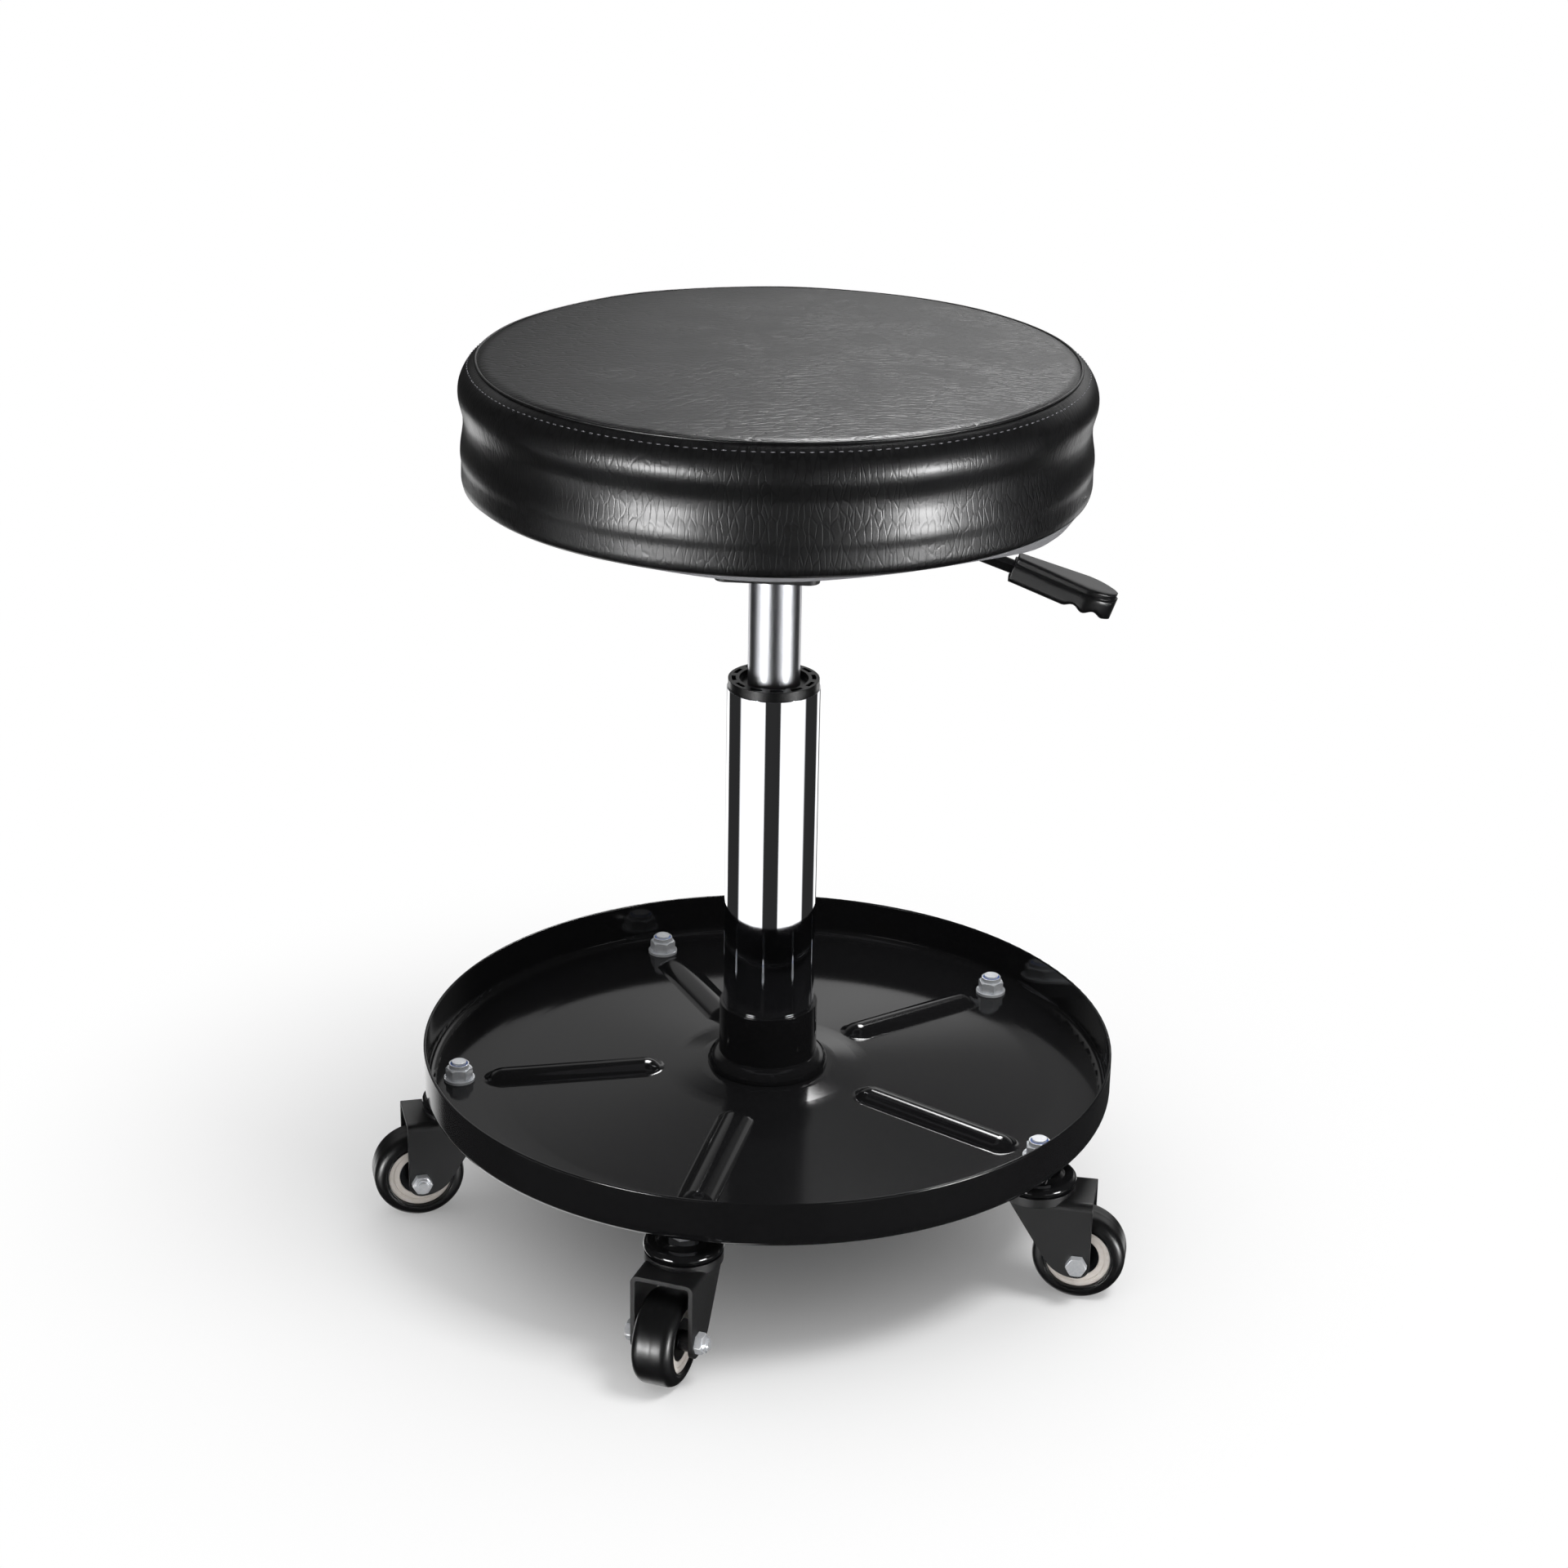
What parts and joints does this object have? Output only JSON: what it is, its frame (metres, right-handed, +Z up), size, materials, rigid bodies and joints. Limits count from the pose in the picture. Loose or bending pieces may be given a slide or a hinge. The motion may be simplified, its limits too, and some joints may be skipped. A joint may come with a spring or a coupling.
{
  "type": "rolling stool",
  "caption": "Round padded stool on a height-adjustable gas lift, with a round parts tray on swivel casters and a lever under the seat.",
  "frame": {"origin": "on the floor, on the axis of the column", "axes": "+Z up along the column, +X along the height lever, at the pictured seat height"},
  "size_m": [0.4209, 0.4189, 0.4945],
  "materials": {
    "black_enamel": "black gloss powder coat",
    "chrome": "polished chrome plate",
    "satin_steel": "satin ground steel",
    "zinc_plate": "bright zinc plate",
    "blue_nylon": "dyed nylon",
    "black_plastic": "fine moulded grain",
    "aluminium": "turned",
    "bump_rubber": "moulded",
    "plywood": "sanded plywood",
    "seat_foam": "cut foam",
    "seat_vinyl": "black grained vinyl",
    "dust_cloth": "grey non-woven cloth",
    "black_tread": "semi-gloss moulded tread",
    "cream_plastic": "cream moulded plastic",
    "bearing_steel": "dark bearing steel"
  },
  "bodies": {
    "base": {"tray": "black_enamel", "tray_socket": "black_enamel", "column_tube": "chrome", "column_bush": "black_plastic", "column_base_plate": "zinc_plate", "caster_stems": "zinc_plate", "caster_top_races": "black_enamel", "stem_washers": "zinc_plate", "stem_lock_nuts": "zinc_plate", "lock_nut_inserts": "blue_nylon"},
    "spindle": {"piston_rod": "satin_steel", "rod_clip": "zinc_plate", "thrust_bearing": "satin_steel", "bump_stop": "bump_rubber", "piston": "aluminium"},
    "seat": {"pressure_tube": "satin_steel", "rod_guide": "black_plastic", "valve_block": "aluminium", "seat_plate": "black_enamel", "taper_socket": "black_enamel", "lever_bush": "black_plastic", "seat_board": "plywood", "seat_foam": "seat_foam", "seat_cover": "seat_vinyl", "seat_dust_cloth": "dust_cloth", "seat_screws": "zinc_plate", "tee_nuts": "zinc_plate"},
    "lever": {"lever_rod": "black_enamel", "lever_handle": "black_plastic"},
    "release_pin": {"release_pin": "zinc_plate"},
    "caster_1": {"caster_1_fork": "black_enamel", "caster_1_balls": "bearing_steel", "caster_1_axle": "zinc_plate"},
    "caster_1_wheel": {"caster_1_tread": "black_tread", "caster_1_hub": "cream_plastic", "caster_1_bearing": "bearing_steel"},
    "caster_2": {"caster_2_fork": "black_enamel", "caster_2_balls": "bearing_steel", "caster_2_axle": "zinc_plate"},
    "caster_2_wheel": {"caster_2_tread": "black_tread", "caster_2_hub": "cream_plastic", "caster_2_bearing": "bearing_steel"},
    "caster_3": {"caster_3_fork": "black_enamel", "caster_3_balls": "bearing_steel", "caster_3_axle": "zinc_plate"},
    "caster_3_wheel": {"caster_3_tread": "black_tread", "caster_3_hub": "cream_plastic", "caster_3_bearing": "bearing_steel"},
    "caster_4": {"caster_4_fork": "black_enamel", "caster_4_balls": "bearing_steel", "caster_4_axle": "zinc_plate"},
    "caster_4_wheel": {"caster_4_tread": "black_tread", "caster_4_hub": "cream_plastic", "caster_4_bearing": "bearing_steel"},
    "caster_5": {"caster_5_fork": "black_enamel", "caster_5_balls": "bearing_steel", "caster_5_axle": "zinc_plate"},
    "caster_5_wheel": {"caster_5_tread": "black_tread", "caster_5_hub": "cream_plastic", "caster_5_bearing": "bearing_steel"}
  },
  "joints": [
    {"name": "seat_swivel", "type": "hinge", "parent": "base", "child": "spindle", "pos_m": [0, 0, 0.08], "axis": [0, 0, 1], "continuous": true},
    {"name": "seat_lift", "type": "slide", "parent": "spindle", "child": "seat", "axis": [0, 0, 1], "range_m": [-0.068, 0.052]},
    {"name": "height_lever", "type": "hinge", "parent": "seat", "child": "lever", "pos_m": [0.02575, 0, 0.415], "axis": [0, -1, 0], "range_deg": [0, 7], "stiffness_Nm_per_rad": 6, "springref_deg": -6.88},
    {"name": "release_press", "type": "slide", "parent": "seat", "child": "release_pin", "axis": [0, 0, -1], "range_m": [0, 0.0033]},
    {"name": "caster_1_swivel", "type": "hinge", "parent": "base", "child": "caster_1", "pos_m": [0.12127, 0.12127, 0.06], "axis": [0, 0, 1], "continuous": true},
    {"name": "caster_1_roll", "type": "hinge", "parent": "caster_1", "child": "caster_1_wheel", "pos_m": [0.13859, 0.13859, 0.025], "axis": [-0.7071, 0.7071, 0], "continuous": true},
    {"name": "caster_2_swivel", "type": "hinge", "parent": "base", "child": "caster_2", "pos_m": [-0.07786, 0.15281, 0.06], "axis": [0, 0, 1], "continuous": true},
    {"name": "caster_2_roll", "type": "hinge", "parent": "caster_2", "child": "caster_2_wheel", "pos_m": [-0.08898, 0.17464, 0.025], "axis": [-0.891, -0.454, 0], "continuous": true},
    {"name": "caster_3_swivel", "type": "hinge", "parent": "base", "child": "caster_3", "pos_m": [-0.16939, -0.02683, 0.06], "axis": [0, 0, 1], "continuous": true},
    {"name": "caster_3_roll", "type": "hinge", "parent": "caster_3", "child": "caster_3_wheel", "pos_m": [-0.19261, -0.03464, 0.025], "axis": [0.319, -0.9478, 0], "continuous": true},
    {"name": "caster_4_swivel", "type": "hinge", "parent": "base", "child": "caster_4", "pos_m": [-0.02683, -0.16939, 0.06], "axis": [0, 0, 1], "continuous": true},
    {"name": "caster_4_roll", "type": "hinge", "parent": "caster_4", "child": "caster_4_wheel", "pos_m": [-0.03296, -0.19311, 0.025], "axis": [0.9681, -0.2504, 0], "continuous": true},
    {"name": "caster_5_swivel", "type": "hinge", "parent": "base", "child": "caster_5", "pos_m": [0.15281, -0.07786, 0.06], "axis": [0, 0, 1], "continuous": true},
    {"name": "caster_5_roll", "type": "hinge", "parent": "caster_5", "child": "caster_5_wheel", "pos_m": [0.17721, -0.07999, 0.025], "axis": [0.0872, 0.9962, 0], "continuous": true}
  ],
  "couplings": [
    {"joint": "release_press", "follows": "height_lever", "m_per_rad": 0.02575}
  ]
}
